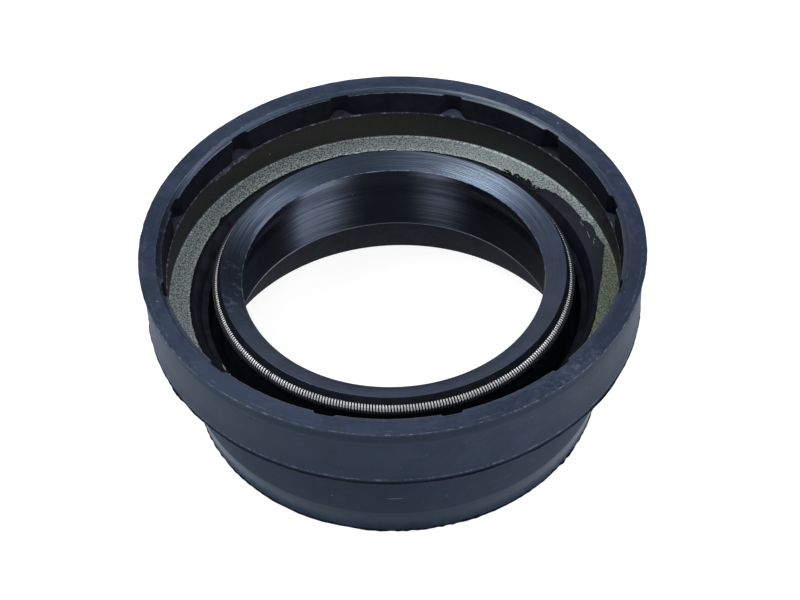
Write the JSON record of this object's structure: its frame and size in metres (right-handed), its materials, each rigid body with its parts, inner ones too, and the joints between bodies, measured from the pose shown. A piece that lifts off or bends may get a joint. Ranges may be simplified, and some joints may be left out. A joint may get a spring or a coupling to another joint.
{
  "type": "radial shaft seal",
  "caption": "Stepped radial shaft seal with a rubber body, a bare metal cup floor, a lip with a garter spring and notches round the cup lining.",
  "frame": {"origin": "on the seal's axis, at the lower end of the skirt", "axes": "+Z along the axis from the skirt to the collar and the spring side; X and Y are free, the first notch is 12.7 degrees from +X"},
  "size_m": [0.0652, 0.0652, 0.0255],
  "materials": {
    "rubber": "satin, moulded, dusty",
    "case_metal": "matt, grainy, olive coated",
    "spring_steel": "bright drawn wire"
  },
  "bodies": {
    "root": {"rubber_body": "rubber", "steel_case": "case_metal", "garter_spring": "spring_steel"}
  },
  "joints": []
}
